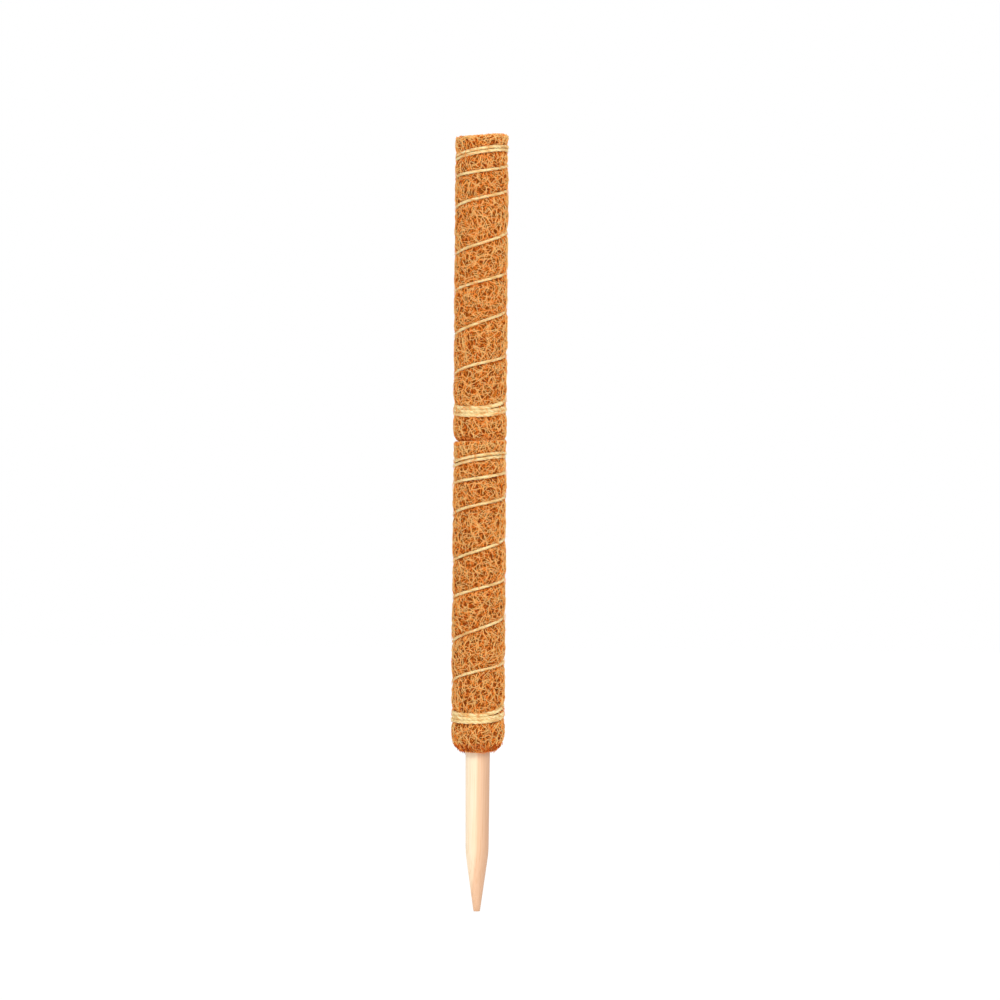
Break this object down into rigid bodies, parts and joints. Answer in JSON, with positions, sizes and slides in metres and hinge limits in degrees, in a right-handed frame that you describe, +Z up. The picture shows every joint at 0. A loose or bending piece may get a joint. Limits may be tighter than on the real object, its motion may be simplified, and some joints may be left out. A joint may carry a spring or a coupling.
{
  "type": "moss pole",
  "caption": "Stackable moss pole for climbing plants: coir sections bound with spiral twine on pointed wooden stakes, the upper section plugging into the lower.",
  "frame": {"origin": "on the pole's axis at the soil line, the underside of the lower section's coir", "axes": "+Z up along the pole, -Y towards the viewer of the picture, +X to their right"},
  "size_m": [0.0344, 0.0356, 0.4999],
  "materials": {
    "wood": "plain sanded pale softwood",
    "tube": "plain grey-white pipe",
    "coir": "rough felted coconut fibre",
    "twine": "twisted undyed natural fibre"
  },
  "bodies": {
    "lower_section": {"lower_stake": "wood", "lower_core_tube": "tube", "lower_coir_wrap": "coir", "lower_twine": "twine", "lower_twine_bottom_knot": "twine", "lower_twine_top_knot": "twine"},
    "upper_peg": {"upper_stake": "wood"},
    "upper_section": {"upper_core_tube": "tube", "upper_coir_wrap": "coir", "upper_twine": "twine", "upper_twine_bottom_knot": "twine", "upper_twine_top_knot": "twine"}
  },
  "joints": [
    {"name": "lift", "type": "slide", "parent": "lower_section", "child": "upper_peg", "axis": [0, 0, 1], "range_m": [0, 0.11]},
    {"name": "turn", "type": "hinge", "parent": "upper_peg", "child": "upper_section", "pos_m": [0, 0, 0.1988], "axis": [0, 0, 1], "continuous": true}
  ]
}
